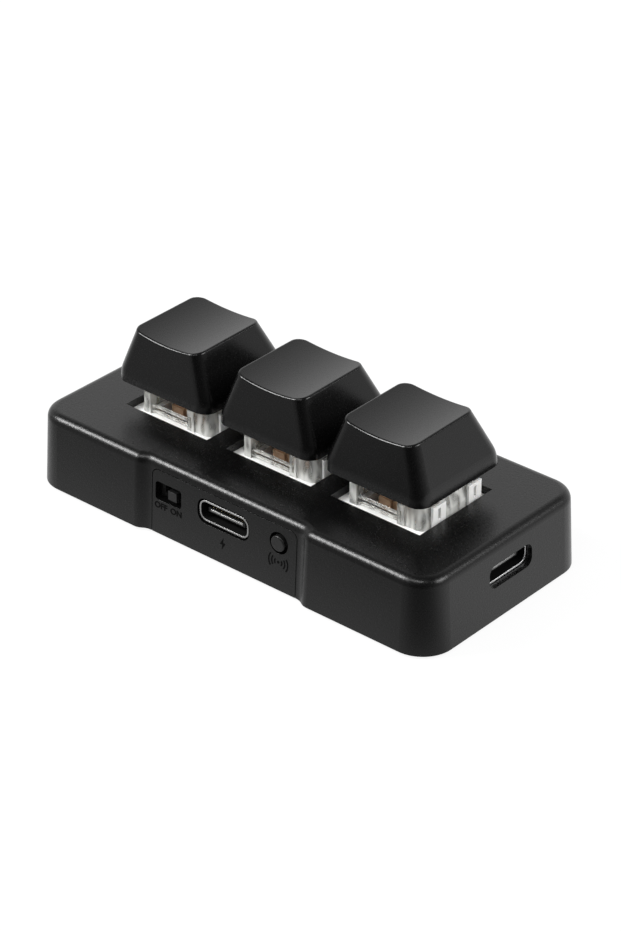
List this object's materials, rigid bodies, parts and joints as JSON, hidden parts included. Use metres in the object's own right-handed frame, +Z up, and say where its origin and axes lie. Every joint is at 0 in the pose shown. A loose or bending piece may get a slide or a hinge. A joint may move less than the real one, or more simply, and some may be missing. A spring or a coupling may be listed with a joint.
{
  "type": "macro keypad",
  "caption": "Low rectangular desk keypad with a row of dished square keys on clear-topped switches, a port recess with a slide power switch and push button, and a port in one end.",
  "frame": {"origin": "on the desk under the middle of the case, at the bottom of the rubber feet", "axes": "+X along the row of keys towards the end port, +Y towards the user, -Y the port side, +Z up"},
  "size_m": [0.0728, 0.0344, 0.0247],
  "materials": {
    "case_black": "fine textured",
    "keycap_black": "fine textured",
    "control_black": "satin",
    "switch_white": "smooth",
    "switch_clear": "clear",
    "stem_brown": "smooth",
    "spring_steel": "drawn wire",
    "contact_brass": "stamped",
    "port_steel": "plated",
    "port_insert": "moulded",
    "screw_steel": "blackened",
    "foot_rubber": "matt",
    "board_green": "solder mask",
    "component_black": "moulded",
    "battery_foil": "foil",
    "pad_foam": "foam",
    "lead_red": "insulated wire",
    "passive_tan": "ceramic"
  },
  "bodies": {
    "case": {"top_shell": "case_black", "bottom_cover": "case_black", "case_screws": "screw_steel", "rubber_feet": "foot_rubber", "circuit_board": "board_green", "charge_port_shell": "port_steel", "link_port_shell": "port_steel", "charge_port_insert": "port_insert", "link_port_insert": "port_insert", "power_switch_body": "component_black", "pair_switch_body": "component_black", "battery_cell": "battery_foil", "battery_pad": "pad_foam", "battery_leads": "lead_red", "controller_chip": "component_black", "charger_chip": "component_black", "clock_crystal": "port_steel", "board_passives": "passive_tan", "switch_base_left": "switch_white", "switch_cover_left": "switch_clear", "switch_spring_left": "spring_steel", "switch_contacts_left": "contact_brass", "switch_base_middle": "switch_white", "switch_cover_middle": "switch_clear", "switch_spring_middle": "spring_steel", "switch_contacts_middle": "contact_brass", "switch_base_right": "switch_white", "switch_cover_right": "switch_clear", "switch_spring_right": "spring_steel", "switch_contacts_right": "contact_brass"},
    "key_left": {"keycap_left": "keycap_black", "switch_stem_left": "stem_brown"},
    "key_middle": {"keycap_middle": "keycap_black", "switch_stem_middle": "stem_brown"},
    "key_right": {"keycap_right": "keycap_black", "switch_stem_right": "stem_brown"},
    "power": {"power_slider": "control_black"},
    "pair": {"pair_button": "control_black"}
  },
  "joints": [
    {"name": "key_left_press", "type": "slide", "parent": "case", "child": "key_left", "axis": [0, 0, -1], "range_m": [0, 0.004], "stiffness_N_per_m": 75, "springref_m": -0.004, "deforming": ["switch_spring_left"]},
    {"name": "key_middle_press", "type": "slide", "parent": "case", "child": "key_middle", "axis": [0, 0, -1], "range_m": [0, 0.004], "stiffness_N_per_m": 75, "springref_m": -0.004, "deforming": ["switch_spring_middle"]},
    {"name": "key_right_press", "type": "slide", "parent": "case", "child": "key_right", "axis": [0, 0, -1], "range_m": [0, 0.004], "stiffness_N_per_m": 75, "springref_m": -0.004, "deforming": ["switch_spring_right"]},
    {"name": "power_slide", "type": "slide", "parent": "case", "child": "power", "axis": [1, 0, 0], "range_m": [-0.0015, 0]},
    {"name": "pair_press", "type": "slide", "parent": "case", "child": "pair", "axis": [0, 1, 0], "range_m": [0, 0.0003], "stiffness_N_per_m": 800, "springref_m": -0.001}
  ]
}
